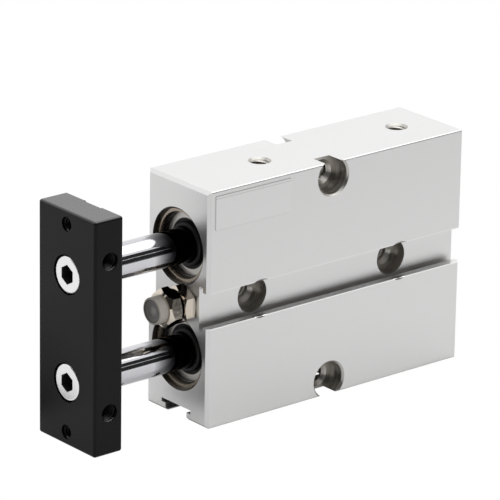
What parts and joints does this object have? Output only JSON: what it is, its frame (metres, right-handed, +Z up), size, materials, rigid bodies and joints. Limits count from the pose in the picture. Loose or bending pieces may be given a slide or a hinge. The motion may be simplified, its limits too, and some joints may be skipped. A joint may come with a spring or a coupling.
{
  "type": "twin rod pneumatic cylinder",
  "caption": "Compact pneumatic cylinder with parallel chromed rods side by side in one grooved aluminium body, joined by a black end plate, with an adjustable rubber-faced stop.",
  "frame": {"origin": "centre of the four mounting holes through the body, on the body's mid-plane", "axes": "+X along the rods from the end plate to the rear end, +Z up through both rods, -Y out of the wide face that the picture shows"},
  "size_m": [0.1055, 0.0216, 0.0556],
  "materials": {
    "body_anodised": "satin silver anodised",
    "plate_black": "satin black anodised",
    "screw_steel": "bright zinc",
    "hard_chrome": "polished",
    "guide_metal": "turned",
    "black_rubber": "matt",
    "spring_steel": "brown phosphate",
    "soft_washer": "matt",
    "piston_metal": "turned",
    "magnet": "matt",
    "wear_plastic": "matt",
    "nut_steel": "nickel plated",
    "stopper_steel": "nickel plated",
    "grey_rubber": "matt"
  },
  "bodies": {
    "barrel": {"body": "body_anodised", "lock_nut": "nut_steel", "upper_rod_guide": "guide_metal", "lower_rod_guide": "guide_metal", "upper_guide_o_ring": "black_rubber", "lower_guide_o_ring": "black_rubber", "upper_rod_seal": "black_rubber", "lower_rod_seal": "black_rubber", "upper_front_retaining_ring": "spring_steel", "lower_front_retaining_ring": "spring_steel", "upper_stop_washer": "soft_washer", "lower_stop_washer": "soft_washer", "upper_rear_cap": "guide_metal", "lower_rear_cap": "guide_metal", "upper_cap_o_ring": "black_rubber", "lower_cap_o_ring": "black_rubber", "upper_rear_retaining_ring": "spring_steel", "lower_rear_retaining_ring": "spring_steel"},
    "rod_assembly": {"end_plate": "plate_black", "plate_screws": "screw_steel", "upper_piston_rod": "hard_chrome", "lower_piston_rod": "hard_chrome", "upper_piston": "piston_metal", "lower_piston": "piston_metal", "upper_piston_seal": "black_rubber", "lower_piston_seal": "black_rubber", "upper_magnet_ring": "magnet", "lower_magnet_ring": "magnet", "upper_wear_ring": "wear_plastic", "lower_wear_ring": "wear_plastic", "upper_piston_nut": "nut_steel", "lower_piston_nut": "nut_steel"},
    "stopper_face": {"bumper": "grey_rubber"},
    "stopper": {"stopper_bolt": "stopper_steel"}
  },
  "joints": [
    {"name": "rod_slide", "type": "slide", "parent": "barrel", "child": "rod_assembly", "axis": [1, 0, 0], "range_m": [0, 0.0137]},
    {"name": "stopper_feed", "type": "slide", "parent": "barrel", "child": "stopper_face", "axis": [1, 0, 0], "range_m": [0, 0.0005]},
    {"name": "stopper_turn", "type": "hinge", "parent": "stopper_face", "child": "stopper", "pos_m": [-0.04065, -0.0026, 0], "axis": [1, 0, 0], "range_deg": [0, 226]}
  ],
  "couplings": [
    {"joint": "stopper_turn", "follows": "stopper_feed", "rad_per_m": 7854}
  ]
}
